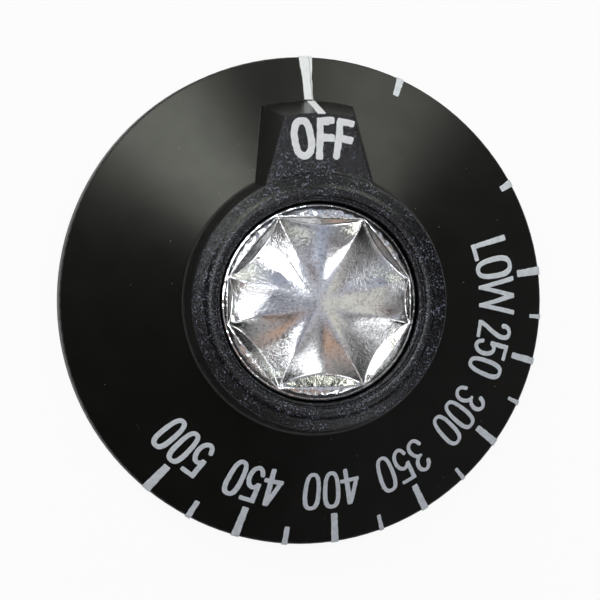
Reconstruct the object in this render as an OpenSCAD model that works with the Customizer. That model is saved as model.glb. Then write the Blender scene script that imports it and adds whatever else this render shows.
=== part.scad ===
// Range control dial: a conical skirt, a round hub with a stamped star cap, and a pointer block at OFF.
// It lies on the back edge of its skirt. +Z is the shaft axis, towards the user, and OFF is at +Y.

/* [Skirt] */
// Diameter over the skirt
skirt_d = 63.5; // [60:0.5:76]
// Height of the upright edge round the skirt
edge_h = 3.6; // [3:0.1:5]
// Slope of the skirt above level, in degrees
skirt_slope = 33; // [29:0.5:35]
// Thickness of the moulded wall
wall = 2.2; // [1.6:0.1:2.6]
// Rounding of the skirt's front edge
edge_round = 0.4; // [0.2:0.1:0.8]

/* [Hub] */
// Height of the hub's shoulder above the back edge
hub_h = 18; // [17:0.1:21]
// Draft of the hub's side, in degrees
hub_draft = 8; // [4:1:12]
// Fillet where the hub meets the skirt and the pointer block
hub_fillet = 0.7; // [0.3:0.1:1]
// Rounding of the shoulder's edge
shoulder_round = 0.25; // [0.1:0.05:0.4]
// Width of the bevel between the shoulder and the crown
bevel_w = 1.35; // [1:0.05:2.5]
// Width of the crown, the round bead that frames the cap
crown_w = 1.4; // [1.2:0.05:1.5]
// Distance from the crown's inner edge to its crest
crest_in = 0.45; // [0.4:0.05:0.6]
// Height of the crown's crest above the shoulder
crown_rise = 0.9; // [0.6:0.1:1.4]
// Radius of the crown's section
crown_round = 1.3; // [1.1:0.1:2]
// Width of the groove inside the crown
groove_w = 0.35; // [0.2:0.05:0.6]
// Depth of that groove below the crest
groove_depth = 0.85; // [0.5:0.05:1.2]
// Width of the thin lip between the groove and the cap
lip_w = 0.25; // [0.15:0.05:0.5]
// Depth of the lip's top below the crest
lip_drop = 0.55; // [0.3:0.05:0.8]

/* [Star cap] */
// Diameter of the stamped metal cap
cap_d = 25; // [22:0.5:27]
// Height of the cap's turned-down edge
cap_h = 2.3; // [2:0.1:3]
// Depth of the cap's rim below the crown's crest
cap_drop = 1.6; // [1:0.1:2]
// Thickness of the cap's sheet
sheet = 0.5; // [0.3:0.05:0.6]
// Gap around the cap at the mouth of its recess
cap_gap = 0.35; // [0.2:0.05:0.6]
// Gap around the cap at the floor of its recess
cap_seat_gap = 0.08; // [0.04:0.02:0.15]
// Rounding of the cap's edge
cap_round = 0.25; // [0.1:0.05:0.4]
// Land between the star's tips and the cap's edge
tip_land = 0.35; // [0.2:0.05:0.8]
// Fall of the star's ridges from the centre to the tips, in degrees
ridge_fall = 3.5; // [2:0.5:5]
// Further fall of the widest hollow between two ridges, in degrees
hollow_fall = 9; // [5:0.5:10]
// Depth of the ridges below the rim at the tips
tip_step = 0.12; // [0.08:0.02:0.2]

/* [Pointer block] */
// Height of the block's top above the back edge
pointer_h = 17.4; // [16:0.1:17.6]
// Radius of the block's outer end at its top
pointer_r = 23.85; // [22:0.05:26]
// Width of the block's outer end at its top
pointer_w = 8.5; // [7:0.1:11]
// Narrowing of each side towards the outer end, in degrees
pointer_taper = 16; // [10:1:20]
// Draft of the block's two sides, in degrees
side_draft = 11.5; // [6:0.5:14]
// Draft of the block's outer end, in degrees
end_draft = 11.4; // [6:0.2:14]
// Fillet between the block's top and the hub
pointer_round = 0.5; // [0.3:0.05:0.6]

/* [Index rib] */
// Width of the index rib at the skirt's edge
index_w_out = 1.5; // [1:0.1:2.5]
// Width of the index rib at the pointer block
index_w_in = 1.25; // [0.8:0.05:2]
// Height of the index rib above the skirt
index_h = 0.25; // [0.1:0.05:0.5]

/* [Shaft socket] */
// Diameter of the shaft
shaft_d = 6.35; // [6:0.05:8]
// Thickness of the shaft across its flat
shaft_flat = 4.76; // [4.5:0.02:5.6]
// Clearance between shaft and socket behind the mouth, all round
shaft_gap = 0.04; // [0.02:0.01:0.1]
// Depth of the socket
socket_depth = 11.4; // [8:0.1:12]
// Length of the round mouth before the flat begins
socket_mouth = 3; // [2:0.2:5]
// Clearance between shaft and mouth, all round
mouth_gap = 0.3; // [0.2:0.05:0.4]
// Wall of the boss around the shaft
boss_wall = 2.3; // [2:0.1:3]
// Setback of the boss's end from the back edge
boss_drop = 1.2; // [0.5:0.1:2]
// Width of the two slits that let the boss grip
slit_w = 0.8; // [0.5:0.1:1.2]
// Length of the slits
slit_l = 7.5; // [7:0.1:9]

/* [Spring ring] */
// Width of the ring's strip
spring_w = 3.6; // [2.5:0.1:3.8]
// Thickness of the ring's strip
spring_t = 0.5; // [0.3:0.05:0.7]
// Depth of the groove that holds the ring
spring_seat = 0.3; // [0.2:0.05:0.4]
// Clearance of the ring in its groove
spring_gap = 0.03; // [0.02:0.01:0.05]
// Distance from the boss's end to the ring
spring_from_end = 0.9; // [0.6:0.1:1.5]
// Opening of the ring, in degrees
spring_opening = 44; // [20:2:90]

/* [Ribs] */
// Number of ribs behind the skirt
rib_count = 4; // [4:4:8]
// Thickness of a rib
rib_t = 1.4; // [1:0.1:2]
// Height of the ribs' free edge above the back edge
rib_edge = 7; // [6.4:0.1:9]
// Radius that the ribs reach
rib_reach = 21; // [17:0.5:24]

/* [Hidden] */
$fn = 96;
eps = 0.02;
big = 3 * skirt_d;

// Directions of the star's eight tips, anticlockwise from +X, in degrees
tips = [14, 61, 116, 164.5, 193, 244, 299, 347];
// Slope of the small wall outside each hollow, anticlockwise from the first tip, in degrees
tip_walls = [58, 58, 44, 52, 44, 32, 40, 60];
// The widest angle that the hollows' fall is stated for
widest = 55;
// Width of the edge around the star, and the facets across each hollow
tip_edge = 0.06;
tip_steps = 10;

skirt_r = skirt_d / 2;
cap_r = cap_d / 2;
recess_r = cap_r + cap_gap;
lip_r = recess_r + lip_w;
groove_r = lip_r + groove_w;
crest_r = groove_r + crest_in;
crown_r = groove_r + crown_w;
hub_r = crown_r + bevel_w;
crest_z = hub_h + crown_rise;
crease_z = crest_z - crown_round + sqrt(pow(crown_round, 2) - pow(crown_r - crest_r, 2));
rim_z = crest_z - cap_drop;
floor_z = rim_z - cap_h;
ceiling_z = floor_z - wall;
tan_slope = tan(skirt_slope);
tan_draft = tan(hub_draft);
base_r = (hub_r + (hub_h - edge_h - skirt_r * tan_slope) * tan_draft) / (1 - tan_slope * tan_draft);
base_z = edge_h + (skirt_r - base_r) * tan_slope;
tip_r = cap_r - cap_round - tip_land;
apex_z = rim_z + tip_r * tan(ridge_fall) - tip_step;
socket_r = shaft_d / 2 + shaft_gap;
socket_flat = shaft_flat - shaft_d / 2 + shaft_gap;
boss_r = socket_r + boss_wall;
ring_r = boss_r - spring_seat;
ring_z = boss_drop + spring_from_end;

// Height of the skirt's outer face at radius r
function skirt_z(r) = edge_h + (skirt_r - r) * tan_slope;

function unit(v) = v / norm(v);

// Profile of a fillet of radius f in the inner corner c between the directions u and v
module fillet_2d(c, u, v, f) {
    half = acos(u * v) / 2;
    run = f / tan(half);
    difference() {
        polygon([c - unit(u + v) * f / 2, c + u * run, c + v * run]);
        translate(c + unit(u + v) * f / sin(half)) circle(f);
    }
}

// Rounds the outer corner c of the profile that it is given, between the directions u and v
module rounded_2d(c, u, v, f) {
    half = acos(u * v) / 2;
    run = f / tan(half);
    difference() {
        children();
        difference() {
            polygon([c - unit(u + v) * f, c + u * run, c + v * run]);
            translate(c + unit(u + v) * f / sin(half)) circle(f);
        }
    }
}

// Half of the space on the side of -X, with its face through the origin
module half_space() {
    translate([-big, -big / 2, -big / 2]) cube(big);
}

// Outer profile of skirt and hub, with the cap's recess cut out
module dial_profile() {
    down_skirt = [cos(skirt_slope), -sin(skirt_slope)];
    up_hub = [-sin(hub_draft), cos(hub_draft)];
    to_crown = unit([crown_r - hub_r, crease_z - hub_h]);
    difference() {
        union() {
            rounded_2d([skirt_r, edge_h], [0, -1], -down_skirt, edge_round)
            rounded_2d([hub_r, hub_h], -up_hub, to_crown, shoulder_round)
                polygon([
                    [0, 0], [skirt_r, 0], [skirt_r, edge_h], [base_r, base_z],
                    [hub_r, hub_h], [crown_r, crease_z], [0, crease_z]
                ]);
            fillet_2d([base_r, base_z], down_skirt, up_hub, hub_fillet);
            translate([crest_r, crest_z - crown_round]) circle(crown_round);
        }
        translate([lip_r, crest_z - groove_depth]) square([groove_w, big]);
        translate([0, crest_z - lip_drop]) square([lip_r + eps, big]);
        polygon([
            [-1, floor_z], [cap_r + cap_seat_gap, floor_z], [recess_r, crest_z - lip_drop],
            [recess_r, crest_z + 1], [-1, crest_z + 1]
        ]);
    }
}

// The pointer block, or its core with the inset taken off each face, from the back edge up
module pointer_block(inset, from_r) {
    top = pointer_h - inset;
    end_r = pointer_r + inset * tan(end_draft) - inset / cos(end_draft);
    intersection() {
        cylinder(h = top, r1 = end_r + top * tan(end_draft), r2 = end_r);
        pointer_side(inset);
        mirror([1, 0, 0]) pointer_side(inset);
        translate([-skirt_r, from_r, 0]) cube([skirt_d, skirt_r, big]);
    }
}

// The space on the inner side of the block's right side face
module pointer_side(inset) {
    translate([pointer_w / 2, pointer_r, pointer_h]) rotate([0, 0, pointer_taper])
        rotate([0, -side_draft, 0]) translate([-inset, 0, 0]) half_space();
}

// The fillet between the block's top and the side of the hub
module pointer_fillet() {
    foot_r = hub_r + (hub_h - pointer_h) * tan_draft;
    intersection() {
        rotate_extrude()
            fillet_2d([foot_r, pointer_h], [1, 0], [-sin(hub_draft), cos(hub_draft)], pointer_round);
        pointer_side(0);
        mirror([1, 0, 0]) pointer_side(0);
        translate([-skirt_r, 0, 0]) cube([skirt_d, skirt_r, big]);
    }
}

// The low rib that runs down the skirt in line with the pointer
module index_rib() {
    run = (skirt_r - pointer_r) / cos(skirt_slope);
    intersection() {
        translate([0, skirt_r, edge_h]) rotate([-skirt_slope, 0, 0]) translate([0, 0, -index_h])
            linear_extrude(2 * index_h)
                polygon([
                    [-index_w_out / 2, 1], [index_w_out / 2, 1],
                    [index_w_in / 2, -run], [-index_w_in / 2, -run]
                ]);
        cylinder(h = hub_h, r = skirt_r - eps);
    }
}

// The open space behind the skirt
module cavity() {
    slab = wall / cos(skirt_slope);
    inner_r = skirt_r - wall;
    corner_z = skirt_z(inner_r) - slab;
    top_r = skirt_r - (ceiling_z - edge_h + slab) / tan_slope;
    rotate_extrude()
        polygon([[0, -1], [inner_r, -1], [inner_r, corner_z], [top_r, ceiling_z], [0, ceiling_z]]);
}

// The ribs between the boss and the skirt
module ribs() {
    intersection() {
        translate([0, 0, eps]) cavity();
        for (i = [0 : rib_count - 1]) rotate([0, 0, (i + 0.5) * 360 / rib_count])
            translate([socket_r + boss_wall / 2, -rib_t / 2, rib_edge])
                cube([rib_reach - socket_r - boss_wall / 2, rib_t, ceiling_z]);
    }
}

// The hole for the shaft: a round mouth, then a flat on the side of the pointer
module socket() {
    end_z = boss_drop + socket_depth;
    translate([0, 0, -1]) cylinder(h = 1 + boss_drop + socket_mouth, r = shaft_d / 2 + mouth_gap);
    difference() {
        translate([0, 0, boss_drop]) cylinder(h = socket_depth, r = socket_r);
        translate([-shaft_d, socket_flat, boss_drop + socket_mouth]) cube([2 * shaft_d, shaft_d, end_z]);
    }
}

// The moulding: skirt, hub, pointer block, boss and ribs
module dial_body() {
    color([0.11, 0.11, 0.1]) difference() {
        union() {
            difference() {
                union() {
                    rotate_extrude() dial_profile();
                    pointer_block(0, recess_r + lip_w);
                    pointer_fillet();
                    index_rib();
                }
                cavity();
                pointer_block(wall, base_r);
            }
            translate([0, 0, boss_drop]) cylinder(h = ceiling_z - boss_drop + eps, r = boss_r);
            ribs();
        }
        socket();
        translate([-boss_r - 1, -slit_w / 2, -1]) cube([2 * boss_r + 2, slit_w, 1 + boss_drop + slit_l]);
        translate([0, 0, ring_z]) difference() {
            cylinder(h = spring_w + 2 * spring_gap, r = boss_r + 1);
            translate([0, 0, -1]) cylinder(h = spring_w + 2, r = ring_r);
        }
    }
}

// Fall of hollow i at the angle off from its middle, in degrees: least at the ridges on both sides
function fall(i, off) = ridge_fall + hollow_fall * 2 * half(i) / widest * (1 - pow(off / half(i), 2));

// Radius of the crease where hollow i meets the small wall outside it
function crease_at(i, off) =
    tip_r * (tan(ridge_fall) + cos(half(i)) * tan(tip_walls[i]))
    / (tan(fall(i, off)) + cos(off) * tan(tip_walls[i]));

// Radius of the straight edge from tip to tip, just outside the small wall
function edge_at(i, off) = tip_r * cos(half(i)) / cos(off) + tip_edge;

function next_tip(i) = i == len(tips) - 1 ? tips[0] + 360 : tips[i + 1];
function half(i) = (next_tip(i) - tips[i]) / 2;

function polar(r, a, z) = [r * cos(a), r * sin(a), z];

// The star's face as a sheet: rings of points from the creases out to the flange, then back below
module star_sheet() {
    columns = [
        for (i = [0 : len(tips) - 1], k = [0 : tip_steps - 1]) [i, (2 * k / tip_steps - 1) * half(i)]
    ];
    count = len(columns);
    land_z = rim_z - eps;
    land_r = cap_r - sheet / 2;
    function ring(depth, kind) = [for (c = columns)
        let (i = c[0], off = c[1], a = (tips[i] + next_tip(i)) / 2 + off, crease = crease_at(i, off))
        kind == "crease" ? polar(crease, a, apex_z - crease * tan(fall(i, off)) - depth)
        : kind == "edge" ? polar(edge_at(i, off), a, land_z - depth)
        : polar(land_r, a, land_z - depth)];
    points = concat(
        [[0, 0, apex_z], [0, 0, apex_z - sheet]],
        ring(0, "crease"), ring(0, "edge"), ring(0, "land"),
        ring(sheet, "land"), ring(sheet, "edge"), ring(sheet, "crease")
    );
    function at(level, column) = 2 + level * count + column % count;
    faces = concat(
        [for (c = [0 : count - 1]) [0, at(0, c + 1), at(0, c)]],
        [for (level = [0 : 4], c = [0 : count - 1], part = [0, 1])
            part == 0 ? [at(level, c), at(level, c + 1), at(level + 1, c)]
            : [at(level, c + 1), at(level + 1, c + 1), at(level + 1, c)]],
        [for (c = [0 : count - 1]) [1, at(5, c), at(5, c + 1)]]
    );
    polyhedron(points, faces, convexity = 6);
}

// The turned-down edge that stands on the recess's floor
module flange() {
    rotate_extrude()
        rounded_2d([cap_r, rim_z], [0, -1], [-1, 0], cap_round)
            translate([cap_r - sheet, floor_z]) square([sheet, cap_h]);
}

// The stamped cap: its turned-down edge and the star's sheet, one piece of metal
module star_cap() {
    color([0.82, 0.82, 0.84]) union() {
        flange();
        star_sheet();
    }
}

// The split ring that squeezes the slit boss onto the shaft
module spring_ring() {
    color([0.6, 0.6, 0.62]) translate([0, 0, ring_z + spring_gap]) rotate([0, 0, spring_opening / 2])
        rotate_extrude(angle = 360 - spring_opening)
            translate([ring_r + spring_gap, 0]) square([spring_t, spring_w]);
}

dial_body();
star_cap();
spring_ring();
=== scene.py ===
import math
import bpy
import numpy as np
from mathutils import Matrix, Vector


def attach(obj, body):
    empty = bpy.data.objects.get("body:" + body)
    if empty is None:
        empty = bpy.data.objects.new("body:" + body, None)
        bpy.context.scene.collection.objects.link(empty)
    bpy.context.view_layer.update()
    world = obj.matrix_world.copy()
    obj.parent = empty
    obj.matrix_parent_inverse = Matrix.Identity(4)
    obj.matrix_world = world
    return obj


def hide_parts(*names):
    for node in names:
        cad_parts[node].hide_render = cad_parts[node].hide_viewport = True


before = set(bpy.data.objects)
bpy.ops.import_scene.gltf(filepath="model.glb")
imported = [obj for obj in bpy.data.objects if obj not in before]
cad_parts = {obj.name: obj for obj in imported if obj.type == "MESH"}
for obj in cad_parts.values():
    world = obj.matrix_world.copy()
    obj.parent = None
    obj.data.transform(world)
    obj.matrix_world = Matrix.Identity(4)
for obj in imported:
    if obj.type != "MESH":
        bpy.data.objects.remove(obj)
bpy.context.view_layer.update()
scene = bpy.context.scene
scene.view_settings.view_transform = "Standard"

MM = 0.001
# Sizes of the solids, in millimetres
SKIRT_R = 31.75
EDGE_H = 3.6
SLOPE = math.radians(33)
EDGE_ROUND = 0.4
POINTER_H = 17.4
POINTER_R = 23.85
END_DRAFT = math.tan(math.radians(11.4))
CAP_R = 12.5
RIM_Z = 17.3
FLOOR_Z = 15.0
SHEET = 0.5
CAP_ROUND = 0.25
RIDGE_FALL = 3.5
HOLLOW_FALL = 9.0
WIDEST = 55.0
TIP_R = 11.9
TIP_STEP = 0.12
TIPS = [14, 61, 116, 164.5, 193, 244, 299, 347]
TIP_WALLS = [58, 58, 44, 52, 44, 32, 40, 60]
# How fast each hollow deepens outwards: the narrow ones stay flat for longer
DEEPENING = [2.3, 2.2, 2.3, 6.5, 2.2, 2.2, 2.3, 5.5]
APEX_Z = RIM_Z + TIP_R * math.tan(math.radians(RIDGE_FALL)) - TIP_STEP


# Camera

TILT, LEAN, DISTANCE = math.radians(9), math.radians(0.7), 0.42
SENSOR, FOCAL = 36, 193.3
# The point aimed at lies this far to the left of the axis and above it, in millimetres
AIM_LEFT, AIM_UP = 0.313, 0.104
toward = Vector((-math.sin(TILT) * math.cos(LEAN), math.sin(LEAN), math.cos(TILT) * math.cos(LEAN)))
right = Vector((0, 1, 0)).cross(toward).normalized()
up = toward.cross(right)
aim = Vector((0, 0, EDGE_H * MM)) - right * AIM_LEFT * MM + up * AIM_UP * MM
camera = bpy.data.objects.new("camera", bpy.data.cameras.new("camera"))
scene.collection.objects.link(camera)
camera.data.sensor_width = SENSOR
camera.data.lens = FOCAL
camera.data.clip_start = 0.01
camera.data.clip_end = 20
place = Matrix((right, up, toward)).transposed().to_4x4()
place.translation = aim + toward * DISTANCE
camera.matrix_world = place
scene.camera = camera


# Noise in code

def lattice(seed, size=64):
    return np.random.RandomState(seed).rand(size, size)


def smooth_noise(x, y, wave, seed):
    """Value noise between -1 and 1 over the plane, with the given wavelength."""
    table = lattice(seed)
    size = len(table)
    x, y = np.asarray(x, float) / wave + 31.7, np.asarray(y, float) / wave + 17.3
    i, j = np.floor(x).astype(int), np.floor(y).astype(int)
    s, t = x - i, y - j
    s, t = s * s * (3 - 2 * s), t * t * (3 - 2 * t)
    a, b = table[i % size, j % size], table[(i + 1) % size, j % size]
    c, d = table[i % size, (j + 1) % size], table[(i + 1) % size, (j + 1) % size]
    return 2 * (a * (1 - s) * (1 - t) + b * s * (1 - t) + c * (1 - s) * t + d * s * t) - 1


# Mesh helpers

def new_piece(name, points, faces, material):
    """A mesh piece from points in millimetres, riding on the one body."""
    mesh = bpy.data.meshes.new(name)
    mesh.from_pydata([tuple(p) for p in np.asarray(points, float) * MM], [], [list(f) for f in faces])
    mesh.validate()
    mesh.polygons.foreach_set("use_smooth", [True] * len(mesh.polygons))
    mesh.materials.append(material)
    mesh.update()
    piece = bpy.data.objects.new(name, mesh)
    scene.collection.objects.link(piece)
    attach(piece, "root")
    return piece


def filled(field, box, cell, surface, top, foot):
    """Points and faces of the plane area where field is negative, raised to top, with sides down to foot.
    surface(x, y, h) gives the points in space."""
    x0, x1, y0, y1 = box
    xs, ys = np.arange(x0, x1 + cell, cell), np.arange(y0, y1 + cell, cell)
    gx, gy = np.meshgrid(xs, ys, indexing="ij")
    d = field(gx, gy)
    inside = d < 0
    some = inside[:-1, :-1] | inside[1:, :-1] | inside[1:, 1:] | inside[:-1, 1:]
    flat, index, faces = [], {}, []

    def vertex(key, x, y):
        if key not in index:
            index[key] = len(flat)
            flat.append((x, y))
        return index[key]

    for i, j in zip(*np.nonzero(some)):
        ring = ((i, j), (i + 1, j), (i + 1, j + 1), (i, j + 1))
        face = []
        for k in range(4):
            p, q = ring[k], ring[(k + 1) % 4]
            if inside[p]:
                face.append(vertex(p, xs[p[0]], ys[p[1]]))
            if inside[p] != inside[q]:
                share = d[p] / (d[p] - d[q])
                share = min(max(share, 0.02), 0.98)
                face.append(vertex(
                    (min(p, q), max(p, q)),
                    xs[p[0]] + (xs[q[0]] - xs[p[0]]) * share, ys[p[1]] + (ys[q[1]] - ys[p[1]]) * share,
                ))
        if len(face) > 2:
            faces.append(face)
    edges = {}
    for face in faces:
        for a, b in zip(face, face[1:] + face[:1]):
            edges[a, b] = True
    rim = [e for e in edges if (e[1], e[0]) not in edges]
    flat = np.array(flat)
    low = {}
    for a, b in rim:
        for v in (a, b):
            low.setdefault(v, len(flat) + len(low))
    points = np.array(surface(flat[:, 0], flat[:, 1], top)).T
    keys = list(low)
    feet = np.array(surface(flat[keys, 0], flat[keys, 1], foot)).T
    sides = [[b, a, low[a], low[b]] for a, b in rim]
    return np.vstack([points, feet]), faces + sides


def joined(parts):
    points, faces, base = [], [], 0
    for p, f in parts:
        points.append(p)
        faces += [[v + base for v in face] for face in f]
        base += len(p)
    return np.vstack(points), faces


def curve(points, closed=False, steps=5):
    """A smooth line through the points."""
    pts = np.array(points, float)
    n = len(pts)
    out = []
    for i in range(n if closed else n - 1):
        p = [pts[(i + k) % n] if closed else pts[min(max(i + k, 0), n - 1)] for k in (-1, 0, 1, 2)]
        for t in np.arange(steps) / steps:
            out.append(0.5 * (2 * p[1] + (p[2] - p[0]) * t + (2 * p[0] - 5 * p[1] + 4 * p[2] - p[3]) * t * t
                              + (3 * p[1] - p[0] - 3 * p[2] + p[3]) * t ** 3))
    out.append(pts[0] if closed else pts[-1])
    return np.array(out)


def stroke(points, width, square=False):
    """The distance from a line of the given width: negative inside it."""
    def field(x, y):
        best = np.full(np.shape(x), 1e3)
        power = 5 if square else 2
        for a, b in zip(points[:-1], points[1:]):
            a, b = np.array(a, float), np.array(b, float)
            length = np.hypot(*(b - a))
            if length < 1e-9:
                continue
            u = (b - a) / length
            along = (x - a[0]) * u[0] + (y - a[1]) * u[1]
            across = np.abs((x - a[0]) * -u[1] + (y - a[1]) * u[0])
            past = np.maximum(np.abs(along - length / 2) - length / 2, 0)
            best = np.minimum(best, (past ** power + across ** power) ** (1 / power) - width / 2)
        return best
    return field


def union(*fields):
    return lambda x, y: np.minimum.reduce([f(x, y) for f in fields])


def rough_edge(field, amount, wave, seed):
    return lambda x, y: field(x, y) + amount * smooth_noise(x, y, wave, seed)


# Print on the skirt

# Radii at which the widths of the figures and of the marks are true
PRINT_R = 24.7
MARK_R = 30
PRINT_H = 0.05
PRINT_FOOT = -0.03
PAINT_FOOT = -0.04
CELL = 0.085


def skirt_height(r):
    """Height of the skirt's face at radius r, with its rounded edge."""
    r = np.asarray(r, float)
    z = EDGE_H + (SKIRT_R - r) * math.tan(SLOPE)
    half = (math.pi / 2 + SLOPE) / 2
    run = EDGE_ROUND / math.tan(half)
    centre_r = SKIRT_R - EDGE_ROUND
    centre_z = EDGE_H - run
    start = centre_r + EDGE_ROUND * math.sin(SLOPE)
    bend = centre_z + np.sqrt(np.maximum(EDGE_ROUND ** 2 - np.clip(r - centre_r, 0, EDGE_ROUND) ** 2, 0))
    return np.where(r > start, np.minimum(bend, z), z)


def on_skirt(angle, radius):
    """The skirt at that angle and radius, with x clockwise along the scale and y outwards along the slope."""
    def surface(x, y, h):
        r = radius + y * math.cos(SLOPE)
        a = math.radians(angle) - x / PRINT_R
        z = skirt_height(r) + h * math.cos(SLOPE)
        r = r + h * math.sin(SLOPE)
        return r * np.cos(a), r * np.sin(a), z
    return surface


def zero(width, height, line):
    t = np.linspace(0, 2 * math.pi, 45)
    a, b, n = width / 2 - line / 2, height / 2 - line / 2, 2 / 2.7
    x = a * np.sign(np.cos(t)) * np.abs(np.cos(t)) ** n
    y = b * np.sign(np.sin(t)) * np.abs(np.sin(t)) ** n
    return stroke(np.stack([x, y], 1), line)


def glyph(sign, line, tall):
    """The field of one sign, about 6.2 mm tall times tall, with strokes of width line."""
    def at(points):
        return [(x, y * tall) for x, y in points]
    if sign == "0":
        return zero(2.28, 6.32 * tall, line)
    if sign == "O":
        return zero(2.82, 6.6 * tall, line * 1.1)
    if sign == "2":
        hook = [(-0.69, 1.53), (-0.66, 2.06), (-0.4, 2.55), (0.08, 2.81), (0.52, 2.55), (0.69, 1.85),
                (0.61, 0.97), (0.19, -0.32), (-0.45, -1.61), (-0.82, -2.5)]
        return union(stroke(curve(at(hook)), line), stroke(at([(-0.86, -2.8), (1.0, -2.78)]), line, True),
                     stroke(at([(-0.8, -2.4), (-0.86, -2.8)]), line, True))
    if sign == "3":
        upper = [(-0.69, 1.73), (-0.53, 2.34), (-0.02, 2.88), (0.52, 2.53), (0.73, 1.69), (0.55, 0.81),
                 (0.08, 0.27)]
        lower = [(0.05, 0.26), (0.56, -0.32), (0.87, -1.37), (0.65, -2.34), (-0.02, -2.69), (-0.56, -2.34),
                 (-0.82, -1.53)]
        return union(stroke(curve(at(upper)), line), stroke(curve(at(lower)), line),
                     stroke(at([(-0.16, 0.24), (0.2, 0.27)]), line * 0.9))
    if sign == "4":
        return union(stroke(at([(0.26, 2.7), (-0.86, -1.1)]), line * 0.95, True),
                     stroke(at([(-0.9, -1.14), (1.12, -1.14)]), line, True),
                     stroke(at([(0.36, 2.7), (0.56, -2.85)]), line * 1.08, True))
    if sign == "5":
        bowl = [(-0.68, 0.02), (-0.4, 0.4), (0.03, 0.58), (0.48, 0.24), (0.77, -0.56), (0.81, -1.53),
                (0.56, -2.34), (0.0, -2.77), (-0.52, -2.5), (-0.78, -1.77)]
        return union(stroke(at([(-0.64, 2.74), (0.7, 2.72)]), line, True),
                     stroke(at([(-0.64, 2.74), (-0.7, 0.02)]), line, True), stroke(curve(at(bowl)), line))
    if sign == "L":
        return union(stroke(at([(-0.5, 2.95), (-0.74, -2.8)]), line * 1.08, True),
                     stroke(at([(-0.74, -2.8), (0.98, -2.76)]), line * 1.15, True))
    path = [(-2.0, 3.0), (-1.3, -2.95), (0.0, 2.9), (1.2, -2.95), (1.98, 3.0)]
    return union(*[stroke(at([p, q]), line * 0.9, True) for p, q in zip(path, path[1:])])


# Each word: stroke width, height, radius of its middle, and its signs with their angles
WORDS = [
    (0.62, 1.0, 24.9, [("L", 16.3), ("O", 10.0), ("W", 1.4)]),
    (0.58, 1.0, 24.9, [("2", -8.9), ("5", -14.5), ("0", -20.3)]),
    (0.52, 0.98, 24.8, [("3", -30.6), ("0", -36.5), ("0", -42.5)]),
    (0.52, 0.97, 24.7, [("3", -53.9), ("5", -59.6), ("0", -65.4)]),
    (0.57, 0.95, 24.57, [("4", -76.8), ("0", -82.8), ("0", -88.8)]),
    (0.64, 0.95, 24.55, [("4", -100.8), ("5", -106.9), ("0", -112.6)]),
    (0.66, 0.955, 24.7, [("5", -125.0), ("0", -130.8), ("0", -136.8)]),
]
# Each mark: angle, radius of its inner end, width at the edge and at the inner end
MARKS = [
    (65.8, 29.3, 0.95, 0.8), (29.1, 29.95, 0.95, 0.7), (7.1, 28.35, 1.0, 0.95),
    (-3.9, 30.15, 0.58, 0.5), (-14.6, 28.35, 0.84, 0.84), (-25.2, 30.05, 0.58, 0.45),
    (-36.1, 28.15, 0.95, 0.88), (-47.5, 29.8, 0.56, 0.45), (-59.1, 28.0, 0.9, 0.85),
    (-70.6, 29.6, 0.56, 0.5), (-82.2, 27.8, 0.9, 0.9), (-94.3, 29.4, 0.72, 0.66),
    (-106.3, 27.75, 1.02, 0.92), (-118.3, 29.35, 0.74, 0.7), (-130.3, 27.8, 1.15, 1.05),
]


def scale_marks(material):
    parts = []
    for number, (angle, inner, outer_w, inner_w) in enumerate(MARKS):
        # y = 0 is the skirt's edge
        deep = (SKIRT_R - inner) / math.cos(SLOPE)

        def field(x, y, deep=deep, outer_w=outer_w, inner_w=inner_w):
            half = (inner_w + (outer_w - inner_w) * (y + deep) / deep) / 2 * PRINT_R / MARK_R
            corner = 0.12
            qx, qy = np.abs(x) - half + corner, -deep - y + corner
            return np.hypot(np.maximum(qx, 0), np.maximum(qy, 0)) + np.minimum(np.maximum(qx, qy), 0) - corner
        field = rough_edge(field, 0.03, 0.45, 40 + number)
        box = (-0.9, 0.9, -deep - 0.2, (0.08 / math.cos(SLOPE)))
        parts.append(filled(field, box, CELL, on_skirt(angle, SKIRT_R), PRINT_H, PRINT_FOOT))
    return new_piece("scale_marks", *joined(parts), material)


def scale_figures(material):
    parts = []
    seed = 60
    for line, tall, radius, signs in WORDS:
        for sign, angle in signs:
            seed += 1
            field = rough_edge(glyph(sign, line, tall), 0.022, 0.4, seed)
            box = (-2.6, 2.6, -3.8, 3.8) if sign == "W" else (-1.8, 1.8, -3.8, 3.8)
            parts.append(filled(field, box, CELL, on_skirt(angle, radius), PRINT_H, PRINT_FOOT))
    return new_piece("scale_figures", *joined(parts), material)


# Index line and OFF

def index_paint(material):
    """Brushed white paint over the index rib, off its middle, from the skirt's edge to the pointer block."""
    fold_r = 25.93

    def field(x, y):
        share = np.clip((SKIRT_R - y) / (SKIRT_R - fold_r), 0, 1)
        middle = 0.36 - 0.13 * share
        half = 0.9 - 0.55 * np.clip(share * 1.7, 0, 1) * 0.5 - 0.02 * share
        side = np.abs(x - middle) - half
        side = side + 0.05 * smooth_noise(x * 0.3, y, 0.5, 7)
        return np.maximum(side, fold_r - y)

    def surface(x, y, h):
        rib_half = 0.625 + 0.125 * np.clip((y - POINTER_R) / (SKIRT_R - POINTER_R), 0, 1)
        lift = 0.25 * np.clip((rib_half + 0.12 - np.abs(x)) / 0.12, 0, 1)
        lift = lift * np.clip((SKIRT_R + 0.1 - y) / 0.2, 0, 1)
        streak = 0.012 * smooth_noise(x * 6, y * 0.6, 1.0, 9)
        r = np.hypot(x, y)
        z = skirt_height(np.minimum(r, SKIRT_R)) + (lift + h + streak) * math.cos(SLOPE)
        k = (lift + h) * math.sin(SLOPE)
        return x, y + k * 0.6, z
    points, faces = filled(field, (-1.2, 1.8, fold_r - 0.1, SKIRT_R + 0.12), 0.08, surface, PRINT_H, PAINT_FOOT)
    return new_piece("index_paint", points, faces, material)


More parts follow.
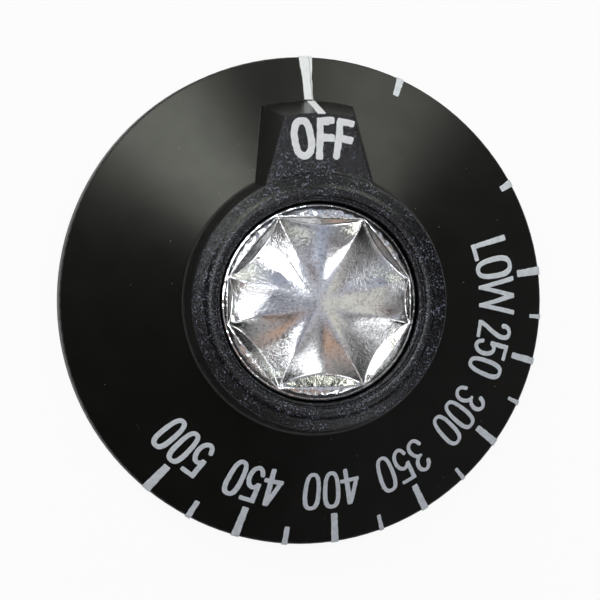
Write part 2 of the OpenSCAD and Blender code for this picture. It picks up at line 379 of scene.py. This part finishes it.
def index_tail(material):
    """The brush's run-out up the block's outer end and just over its top edge. x across, y up the end."""
    foot_z = 7.45
    climb = POINTER_H - foot_z

    def field(x, y):
        path = [(0.45, 0.0), (0.42, 3.0), (0.34, 6.5), (0.26, climb + 0.1)]
        line = stroke(curve(path), 1.0)(x, y) + 0.05 * smooth_noise(x, y * 0.5, 0.5, 12)
        return np.maximum(line, y - climb - 0.12)

    def surface(x, y, h):
        over = np.clip(y - climb, 0, None)
        z = foot_z + np.minimum(y, climb)
        r = POINTER_R + (POINTER_H - z) * END_DRAFT
        yy = np.sqrt(r * r - x * x)
        return x, np.where(over > 0, yy - over + h * 0.3, yy + h), z + np.where(over > 0, h, h * 0.2)
    points, faces = filled(field, (-0.4, 1.6, 0.0, climb + 0.8), 0.08, surface, PRINT_H, PAINT_FOOT)
    return new_piece("index_tail", points, faces, material)


def off_letters(material):
    """OFF, painted by hand on the block's top. x and y are the object's own."""
    ring = [(-2.22, 22.86), (-2.95, 22.58), (-3.22, 21.6), (-3.2, 20.7), (-3.02, 19.75), (-2.7, 18.85),
            (-2.0, 18.4), (-1.28, 18.8), (-1.04, 19.6), (-1.06, 20.45), (-1.22, 21.35), (-1.4, 22.1), (-1.68, 22.62)]
    letters = union(
        stroke(curve(ring, closed=True), 0.9),
        stroke([(0.05, 22.85), (0.06, 21.0), (-0.02, 18.42)], 0.86, True),
        stroke([(0.1, 22.86), (1.5, 22.9)], 0.84, True),
        stroke([(0.1, 22.6), (0.95, 22.62)], 0.7),
        stroke([(0.15, 20.73), (1.45, 20.72)], 0.93, True),
        stroke(curve([(2.62, 22.75), (2.55, 21.6), (2.42, 20.2), (2.16, 18.4)]), 0.88),
        stroke([(2.65, 22.78), (4.05, 22.5)], 0.86, True),
        stroke([(2.55, 20.68), (3.85, 20.4)], 0.94, True),
    )
    letters = rough_edge(rough_edge(letters, 0.045, 0.35, 21), 0.03, 0.8, 22)

    def surface(x, y, h):
        return x, y, POINTER_H + h + 0.015 * smooth_noise(x, y, 0.6, 23) * (h > 0)
    points, faces = filled(letters, (-4.0, 4.9, 17.4, 23.6), 0.07, surface, 0.07, PRINT_FOOT)
    return new_piece("off_letters", points, faces, material)


# Dust

SKIRT_SPECKS = 34
BLOCK_SPECKS = 9


def dust(material):
    """A few pale specks on the skirt and on the block's top."""
    draw = np.random.RandomState(11)
    points, faces = [], []
    places = [(draw.uniform(17.5, 31), draw.uniform(0, 360)) for _ in range(SKIRT_SPECKS)]
    spots = []
    for r, degrees in places:
        a = math.radians(degrees)
        spots.append((r * math.cos(a), r * math.sin(a), float(skirt_height(r))))
    spots += [(draw.uniform(-3.6, 3.6), draw.uniform(17.6, 23.6), POINTER_H) for _ in range(BLOCK_SPECKS)]
    for x, y, z in spots:
        if abs(x) < 5.8 and 14 < y < 25.5 and z < POINTER_H:
            continue
        size = draw.uniform(0.025, 0.065)
        base = len(points)
        long = size * draw.uniform(1, 2.4)
        points += [(x + long, y, z), (x, y + size, z), (x - size, y, z), (x, y - size, z)]
        points += [(x, y, z + size), (x, y, z - size)]
        faces += [[base + k, base + (k + 1) % 4, base + 4] for k in range(4)]
        faces += [[base + (k + 1) % 4, base + k, base + 5] for k in range(4)]
    return new_piece("dust", points, faces, material)


# Star cap

def star_height(x, y):
    """Height of the star's face before the dents. The solid's hollows deepen more evenly outwards."""
    r = np.hypot(x, y)
    a = np.degrees(np.arctan2(y, x)) % 360
    z = np.zeros_like(r)
    for i, tip in enumerate(TIPS):
        after = TIPS[(i + 1) % len(TIPS)] + (360 if i == len(TIPS) - 1 else 0)
        half = (after - tip) / 2
        off = (a - tip) % 360 - half
        inside = np.abs(off) <= half
        # Creased at the tips, and rounded towards the middle
        creased, rounded = 1 - (off / half) ** 2, 0.5 + 0.5 * np.cos(math.pi * off / half)
        crease = np.clip((r - 5) / 5, 0, 1)
        fall = RIDGE_FALL + HOLLOW_FALL * 2 * half / WIDEST * (rounded + (creased - rounded) * crease)
        ridge = math.tan(math.radians(RIDGE_FALL))
        hollow = APEX_Z - r * ridge - TIP_R * (np.tan(np.radians(fall)) - ridge) * (r / TIP_R) ** DEEPENING[i]
        edge = r * np.cos(np.radians(off)) - TIP_R * math.cos(math.radians(half))
        wall = RIM_Z - TIP_STEP + edge * math.tan(math.radians(TIP_WALLS[i]))
        z = np.where(inside, np.maximum(hollow, np.minimum(wall, RIM_Z)), z)
    return z


# Scratches across the cap, in millimetres from its middle
SCRATCHES = [
    [(8.0, 4.3), (8.2, 2.7), (7.6, 1.0), (6.8, -0.3)],
    [(3.2, 8.8), (3.8, 4.8), (2.9, 1.4)],
    [(6.9, 1.4), (4.8, -0.3), (3.2, -1.1)],
    [(9.8, 6.2), (11.0, 3.0)],
    [(-5.0, 6.6), (-2.2, 2.6), (-0.6, 0.8)],
    [(1.2, -3.0), (2.4, -7.4)],
    [(4.4, 6.4), (6.6, 5.2), (7.4, 3.2)],
]
SHORT_SCRATCHES = 26


def scratched(x, y):
    """The depth of the scratches: the long ones and a scatter of short ones."""
    depth = np.zeros(np.shape(x))
    for line in SCRATCHES:
        depth = depth + 0.014 * np.exp(-(np.maximum(stroke(curve(line), 0)(x, y), 0) / 0.06) ** 2)
    draw = np.random.RandomState(5)
    for _ in range(SHORT_SCRATCHES):
        angle, far = math.radians(draw.uniform(0, 360)), draw.uniform(2, 10.5)
        turn, length = math.radians(draw.uniform(0, 180)), draw.uniform(0.6, 2.6)
        cx, cy = far * math.cos(angle), far * math.sin(angle)
        dx, dy = length / 2 * math.cos(turn), length / 2 * math.sin(turn)
        line = stroke([(cx - dx, cy - dy), (cx + dx, cy + dy)], 0)
        depth = depth + 0.006 * np.exp(-(np.maximum(line(x, y), 0) / 0.05) ** 2)
    return depth


def dented_height(x, y):
    """The same face with its creases softened, and the dents and ripples of use."""
    r = np.hypot(x, y)
    soft = 0.09 + 0.5 * np.clip(1 - r / 9, 0, 1) ** 1.5
    z = 0.28 * star_height(x, y)
    for t in np.radians(np.arange(0, 360, 60)):
        z = z + 0.12 * star_height(x + soft * math.cos(t), y + soft * math.sin(t))
    outer = np.clip((r - 3) / 7, 0, 1)
    side = np.degrees(np.arctan2(y, x)) % 360
    beaten = 0.35 + 0.65 * np.exp(-((side - 318) / 24) ** 2) + 0.4 * np.exp(-((side - 160) / 30) ** 2)
    z = z + 0.03 * smooth_noise(x, y, 3.4, 1) * (0.3 + 0.7 * outer)
    z = z + 0.02 * smooth_noise(x, y, 1.2, 2) * outer * beaten
    z = z + 0.009 * smooth_noise(x, y, 0.5, 3) * outer * beaten
    z = z - scratched(x, y) * np.clip(r / 1.5, 0, 1)
    rim = np.clip((r - 10.2) / 1.2, 0, 1)
    z = z - 0.42 * np.clip((r - 10.9) / 1.35, 0, 1) ** 2
    z = z + (0.07 * smooth_noise(x, y, 1.1, 4) + 0.035 * smooth_noise(x, y, 0.42, 5)) * rim
    return z - 0.03


def star_piece(material):
    columns = 600
    radii = np.concatenate([np.linspace(0.3, 8.0, 70), np.linspace(8.1, 12.15, 42)])
    a = np.linspace(0, 2 * math.pi, columns, endpoint=False)
    rings = []
    for r in radii:
        x, y = r * np.cos(a), r * np.sin(a)
        rings.append(np.stack([x, y, dented_height(x, y)], 1))
    edge_r = CAP_R - CAP_ROUND
    edge_z = rings[-1][:, 2]
    for t in np.radians([0, 25, 50, 75, 90]):
        r = edge_r + CAP_ROUND * math.sin(t)
        z = edge_z - CAP_ROUND * (1 - math.cos(t))
        rings.append(np.stack([r * np.cos(a), r * np.sin(a), z], 1))
    for r, z in ((CAP_R, FLOOR_Z), (CAP_R - SHEET, FLOOR_Z), (CAP_R - SHEET, RIM_Z - SHEET)):
        rings.append(np.stack([r * np.cos(a), r * np.sin(a), np.full(columns, z)], 1))
    points = np.vstack([[[0, 0, dented_height(np.zeros(1), np.zeros(1))[0]]]] + rings)
    faces = [[0, 1 + k, 1 + (k + 1) % columns] for k in range(columns)]
    for level in range(len(rings) - 1):
        base = 1 + level * columns
        for k in range(columns):
            n = (k + 1) % columns
            faces.append([base + k, base + columns + k, base + columns + n, base + n])
    piece = new_piece("star", points, faces, material)
    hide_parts("star_cap")
    return piece


# Materials

def nodes_of(name):
    material = bpy.data.materials.new(name)
    material.use_nodes = True
    tree = material.node_tree
    tree.nodes.clear()
    out = tree.nodes.new("ShaderNodeOutputMaterial")
    shader = tree.nodes.new("ShaderNodeBsdfPrincipled")
    tree.links.new(shader.outputs["BSDF"], out.inputs["Surface"])
    return material, tree, shader


def add(tree, kind, values=None, links=None, **settings):
    node = tree.nodes.new(kind)
    for key, value in settings.items():
        setattr(node, key, value)
    for key, value in (values or {}).items():
        node.inputs[key].default_value = value
    for key, socket in (links or {}).items():
        tree.links.new(socket, node.inputs[key])
    return node


def noise(tree, where, scale, detail=3, rough=0.5):
    values = {"Scale": scale, "Detail": detail, "Roughness": rough}
    return add(tree, "ShaderNodeTexNoise", values, {"Vector": where})


def ramp(tree, factor, stops):
    node = add(tree, "ShaderNodeValToRGB", None, {"Fac": factor})
    elements = node.color_ramp.elements
    while len(elements) < len(stops):
        elements.new(0.5)
    for element, (position, colour) in zip(elements, stops):
        element.position = position
        element.color = colour if len(colour) == 4 else (*colour, 1)
    return node


def grey(v):
    return (v, v, v, 1)


def plastic():
    """Black moulded phenolic: a satin skirt, and a glossier hub and block with a fine pebbled grain."""
    material, tree, shader = nodes_of("black_moulding")
    where = add(tree, "ShaderNodeTexCoord").outputs["Object"]
    split = add(tree, "ShaderNodeSeparateXYZ", None, {"Vector": where})
    # From 0 on the skirt's face to 1 on the hub and the block, by the height above the skirt
    radius = add(tree, "ShaderNodeVectorMath", None, {0: where}, operation="MULTIPLY")
    radius.inputs[1].default_value = (1, 1, 0)
    length = add(tree, "ShaderNodeVectorMath", None, {0: radius.outputs[0]}, operation="LENGTH")
    slope = add(tree, "ShaderNodeMath", {1: -math.tan(SLOPE), 2: (EDGE_H + SKIRT_R * math.tan(SLOPE)) * MM},
                {0: length.outputs["Value"]}, operation="MULTIPLY_ADD")
    above = add(tree, "ShaderNodeMath", None, {0: split.outputs["Z"], 1: slope.outputs[0]},
                operation="SUBTRACT")
    raised = add(tree, "ShaderNodeMapRange", {"From Min": 0.0003, "From Max": 0.0009},
                 {"Value": above.outputs[0]})
    cloud = noise(tree, where, 90, 4)
    base = ramp(tree, cloud.outputs["Fac"],
                [(0.3, (0.0013, 0.0014, 0.0009)), (0.7, (0.0022, 0.0022, 0.0016))])
    # Painted highlights: pale bluish flecks in the grain of the crown and of the block's top, most of them near the
    # crown, stand in for glints, and the raised tops also get a faint painted bluish sheen
    top = add(tree, "ShaderNodeMapRange", {"From Min": 0.0168, "From Max": 0.0176},
              {"Value": split.outputs["Z"]})
    near = add(tree, "ShaderNodeMapRange", {"From Min": 0.0235, "From Max": 0.0165, "To Min": 0.25},
               {"Value": length.outputs["Value"]})
    glint_fleck = ramp(tree, noise(tree, where, 3600, 2, 0.6).outputs["Fac"], [(0.55, grey(0)), (0.68, grey(1))])
    patch = ramp(tree, noise(tree, where, 420, 2).outputs["Fac"], [(0.42, grey(0.15)), (0.62, grey(1))])
    share = glint_fleck.outputs["Color"]
    for part in (patch.outputs["Color"], top.outputs["Result"], near.outputs["Result"]):
        share = add(tree, "ShaderNodeMath", None, {0: share, 1: part}, operation="MULTIPLY").outputs[0]
    # Painted highlight in the base colour: a faint bluish sheen over the raised tops, plus the glint flecks
    painted_glint_amount = add(tree, "ShaderNodeMath", {1: 0.014}, {0: top.outputs["Result"], 2: share},
                operation="MULTIPLY_ADD")
    painted_glint_colour = add(tree, "ShaderNodeMix", None, {"Factor": painted_glint_amount.outputs[0], 6: base.outputs["Color"]},
                   data_type="RGBA")
    painted_glint_colour.inputs[7].default_value = (0.26, 0.27, 0.37, 1)
    tree.links.new(painted_glint_colour.outputs[2], shader.inputs["Base Color"])
    satin = ramp(tree, noise(tree, where, 260, 3).outputs["Fac"], [(0.3, grey(0.34)), (0.7, grey(0.38))])
    gloss = ramp(tree, noise(tree, where, 1800, 3).outputs["Fac"], [(0.3, grey(0.15)), (0.7, grey(0.24))])
    mix = add(tree, "ShaderNodeMix", None, {"Factor": raised.outputs["Result"]}, data_type="RGBA")
    tree.links.new(satin.outputs["Color"], mix.inputs[6])
    tree.links.new(gloss.outputs["Color"], mix.inputs[7])
    tree.links.new(mix.outputs[2], shader.inputs["Roughness"])
    fine = noise(tree, where, 2600, 2)
    pebble = noise(tree, where, 4200, 2, 0.7)
    grain = add(tree, "ShaderNodeMath", None, {0: pebble.outputs["Fac"], 1: raised.outputs["Result"]},
                operation="MULTIPLY")
    height = add(tree, "ShaderNodeMath", {1: 0.1}, {0: fine.outputs["Fac"], 2: grain.outputs[0]},
                 operation="MULTIPLY_ADD")
    round_edge = add(tree, "ShaderNodeBevel", {"Radius": 0.00022}, samples=6)
    bump = add(tree, "ShaderNodeBump", {"Strength": 0.8, "Distance": 0.00007},
               {"Height": height.outputs[0], "Normal": round_edge.outputs["Normal"]})
    tree.links.new(bump.outputs["Normal"], shader.inputs["Normal"])
    shader.inputs["IOR"].default_value = 1.5
    return material


def white_print(name, tone, amount):
    """Matt white ink or paint, slightly uneven."""
    material, tree, shader = nodes_of(name)
    where = add(tree, "ShaderNodeTexCoord").outputs["Object"]
    dark = tuple(c * (1 - amount) for c in tone)
    base = ramp(tree, noise(tree, where, 1400, 4).outputs["Fac"], [(0.36, dark), (0.58, tone)])
    tree.links.new(base.outputs["Color"], shader.inputs["Base Color"])
    rough = ramp(tree, noise(tree, where, 2500, 2).outputs["Fac"], [(0.3, grey(0.4)), (0.7, grey(0.6))])
    tree.links.new(rough.outputs["Color"], shader.inputs["Roughness"])
    bump = add(tree, "ShaderNodeBump", {"Strength": 0.2, "Distance": 0.00002},
               {"Height": noise(tree, where, 3000, 2).outputs["Fac"]})
    tree.links.new(bump.outputs["Normal"], shader.inputs["Normal"])
    return material


# Beaten spots of the cap: middle and reach in millimetres
BEATEN = [
    ((6.8, -6.2), 3.6), ((5.4, 4.2), 2.4), ((-9.2, 2.6), 2.4), ((-3.4, 8.6), 2.6), ((-6.6, -8.0), 2.8),
    ((10.6, 3), 1.6),
]


def star_metal():
    """Bright plated sheet: mirror-like, with fine scuffs and dull specks, and rougher in the beaten spots."""
    material, tree, shader = nodes_of("plated_sheet")
    where = add(tree, "ShaderNodeTexCoord").outputs["Object"]
    tint = ramp(tree, noise(tree, where, 2300, 5, 0.75).outputs["Fac"],
                [(0.36, (0.6, 0.58, 0.57)), (0.46, (0.86, 0.86, 0.86)), (0.6, (0.92, 0.93, 0.95))])
    tree.links.new(tint.outputs["Color"], shader.inputs["Base Color"])
    shader.inputs["Metallic"].default_value = 1
    rough = ramp(tree, noise(tree, where, 420, 5, 0.65).outputs["Fac"], [(0.32, grey(0.07)), (0.7, grey(0.17))])
    tree.links.new(rough.outputs["Color"], shader.inputs["Roughness"])
    zone = None
    for place, reach in BEATEN:
        away = add(tree, "ShaderNodeVectorMath", None, {0: where}, operation="DISTANCE")
        away.inputs[1].default_value = (place[0] * MM, place[1] * MM, 0.0165)
        near = add(tree, "ShaderNodeMapRange", {"From Min": (reach + 1.5) * MM, "From Max": (reach - 1) * MM},
                   {"Value": away.outputs["Value"]})
        if zone is None:
            zone = near.outputs["Result"]
        else:
            both = add(tree, "ShaderNodeMath", None, {0: zone, 1: near.outputs["Result"]}, operation="MAXIMUM")
            zone = both.outputs[0]
    power = add(tree, "ShaderNodeMapRange", {"To Min": 0.22, "To Max": 0.9}, {"Value": zone})
    coarse = noise(tree, where, 2600, 3, 0.7)
    fine = noise(tree, where, 7000, 2, 0.65)
    height = add(tree, "ShaderNodeMath", {1: 0.5}, {0: fine.outputs["Fac"], 2: coarse.outputs["Fac"]},
                 operation="MULTIPLY_ADD")
    bump = add(tree, "ShaderNodeBump", {"Distance": 0.00008},
               {"Height": height.outputs[0], "Strength": power.outputs[0]})
    tree.links.new(bump.outputs["Normal"], shader.inputs["Normal"])
    return material


def spring_steel():
    material, tree, shader = nodes_of("spring_steel")
    where = add(tree, "ShaderNodeTexCoord").outputs["Object"]
    base = ramp(tree, noise(tree, where, 700, 3).outputs["Fac"],
                [(0.3, (0.42, 0.42, 0.44)), (0.7, (0.56, 0.56, 0.58))])
    tree.links.new(base.outputs["Color"], shader.inputs["Base Color"])
    shader.inputs["Metallic"].default_value = 1
    rough = ramp(tree, noise(tree, where, 1500, 3).outputs["Fac"], [(0.3, grey(0.28)), (0.7, grey(0.42))])
    tree.links.new(rough.outputs["Color"], shader.inputs["Roughness"])
    return material


def dress(node, material):
    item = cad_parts[node]
    for k in range(len(item.data.materials)):
        item.data.materials[k] = material
    if not item.data.materials:
        item.data.materials.append(material)


dress("dial_body", plastic())
dress("spring_ring", spring_steel())
star_piece(star_metal())
ink = white_print("white_ink", (0.82, 0.86, 0.92), 0.12)
paint = white_print("white_paint", (0.92, 0.93, 0.97), 0.07)
lint = white_print("pale_dust", (0.5, 0.5, 0.47), 0.4)
printed = [scale_marks(ink), scale_figures(ink), index_paint(paint), index_tail(paint), off_letters(paint)]
for piece in printed + [dust(lint)]:
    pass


# Floor, light and world

FLOOR_REACH = 3.0
# Just below the back edge, so that the two faces don't share a plane
FLOOR_GAP = 0.00003


def floor():
    material, tree, shader = nodes_of("pale_floor")
    shader.inputs["Base Color"].default_value = (0.9, 0.9, 0.9, 1)
    shader.inputs["Roughness"].default_value = 0.9
    shine = add(tree, "ShaderNodeEmission", {"Strength": 1.0})
    seen = add(tree, "ShaderNodeLightPath")
    share = add(tree, "ShaderNodeMath", {1: 0.93}, {0: seen.outputs["Is Camera Ray"]}, operation="MULTIPLY")
    mix = add(tree, "ShaderNodeMixShader", None, {0: share.outputs[0]})
    tree.links.new(shader.outputs[0], mix.inputs[1])
    tree.links.new(shine.outputs[0], mix.inputs[2])
    # Clear from below, so that the back of the knob can be looked at
    clear = add(tree, "ShaderNodeBsdfTransparent")
    sides = add(tree, "ShaderNodeNewGeometry")
    both = add(tree, "ShaderNodeMixShader", None,
               {0: sides.outputs["Backfacing"], 1: mix.outputs[0], 2: clear.outputs[0]})
    out = next(n for n in tree.nodes if n.type == "OUTPUT_MATERIAL")
    tree.links.new(both.outputs[0], out.inputs["Surface"])
    mesh = bpy.data.meshes.new("floor")
    s = FLOOR_REACH
    mesh.from_pydata([(x, y, -FLOOR_GAP) for x, y in ((-s, -s), (s, -s), (s, s), (-s, s))], [], [(0, 1, 2, 3)])
    mesh.materials.append(material)
    piece = bpy.data.objects.new("floor", mesh)
    scene.collection.objects.link(piece)


def panel(name, direction, distance, width, height, radiance, colour=(1, 1, 1)):
    """A soft panel in that direction from the hub, of the given size and brightness."""
    data = bpy.data.lights.new(name, "AREA")
    data.shape = "RECTANGLE"
    data.size, data.size_y = width, height
    data.energy = radiance * math.pi * width * height
    data.color = colour
    item = bpy.data.objects.new(name, data)
    scene.collection.objects.link(item)
    out = Vector(direction).normalized()
    item.location = Vector((0, 0, 0.015)) + out * distance
    item.rotation_euler = out.to_track_quat("Z", "Y").to_euler()
    item.visible_camera = False


# Cards and gaps of the studio overhead: x and y of the unit direction, radius, softness, colour
CARDS = [
    ((0.1, 0.5), 0.16, 0.2, (0.36, 0.4, 0.5)),
    ((-0.16, 0.45), 0.12, 0.1, (0.16, 0.14, 0.14)),
    ((0.4, 0.42), 0.1, 0.08, (0.7, 0.74, 0.86)),
    ((0.47, 0.2), 0.11, 0.09, (0.13, 0.09, 0.09)),
    ((0.33, -0.03), 0.12, 0.07, (0.66, 0.65, 0.58)),
    ((0.4, -0.26), 0.06, 0.08, (0.22, 0.21, 0.19)),
    ((0.55, -0.4), 0.12, 0.12, (0.8, 0.81, 0.86)),
    ((-0.12, -0.36), 0.17, 0.08, (0.5, 0.34, 0.26)),
    ((0.12, -0.34), 0.09, 0.06, (0.04, 0.037, 0.03)),
    ((-0.4, -0.1), 0.16, 0.1, (0.06, 0.05, 0.035)),
    ((0.0, -0.02), 0.1, 0.05, (0.1, 0.105, 0.13)),
    ((-0.03, 0.13), 0.08, 0.06, (0.72, 0.76, 0.82)),
]


def sky():
    """A pale tent overhead that falls off to a dark room at the horizon, seen white by the camera."""
    world = bpy.data.worlds.new("studio")
    scene.world = world
    world.use_nodes = True
    tree = world.node_tree
    tree.nodes.clear()
    out = tree.nodes.new("ShaderNodeOutputWorld")
    way = add(tree, "ShaderNodeTexCoord").outputs["Generated"]
    split = add(tree, "ShaderNodeSeparateXYZ", None, {"Vector": way})
    colour = ramp(tree, split.outputs["Z"], [
        (0.0, (0.012, 0.012, 0.01)), (0.55, (0.02, 0.02, 0.018)), (0.8, (0.3, 0.3, 0.3)),
        (0.93, (0.4, 0.4, 0.43)), (1.0, (0.5, 0.51, 0.6)),
    ]).outputs["Color"]
    for (x, y), radius, soft, shade in CARDS:
        away = add(tree, "ShaderNodeVectorMath", None, {0: way}, operation="DISTANCE")
        away.inputs[1].default_value = (x, y, math.sqrt(1 - x * x - y * y))
        near = add(tree, "ShaderNodeMapRange", {"From Min": radius + soft, "From Max": radius - soft / 2},
                   {"Value": away.outputs["Value"]}, interpolation_type="SMOOTHSTEP")
        mix = add(tree, "ShaderNodeMix", None, {"Factor": near.outputs["Result"], 6: colour},
                  data_type="RGBA")
        mix.inputs[7].default_value = (*shade, 1)
        colour = mix.outputs[2]
    dim = add(tree, "ShaderNodeBackground", {"Strength": 1.0}, {"Color": colour})
    white = add(tree, "ShaderNodeBackground", {"Strength": 1.0})
    seen = add(tree, "ShaderNodeLightPath")
    mix = add(tree, "ShaderNodeMixShader", None, {0: seen.outputs["Is Camera Ray"]})
    tree.links.new(dim.outputs[0], mix.inputs[1])
    tree.links.new(white.outputs[0], mix.inputs[2])
    tree.links.new(mix.outputs[0], out.inputs["Surface"])


def aimed(azimuth, elevation):
    a, e = math.radians(azimuth), math.radians(elevation)
    return (math.cos(a) * math.cos(e), math.sin(a) * math.cos(e), math.sin(e))


floor()
sky()
panel("key", (-0.22, 0.2, 0.955), 0.9, 0.26, 0.2, 11.5, (0.94, 0.97, 1))
panel("low_key", (0.34, -0.6, 0.724), 0.9, 0.34, 0.2, 2.4, (0.96, 0.98, 1))
panel("window", aimed(122, 28), 1.0, 0.5, 0.42, 5.6, (0.97, 1, 0.88))
panel("second_window", aimed(61, 22), 1.0, 0.55, 0.35, 3.3, (0.97, 1, 0.88))
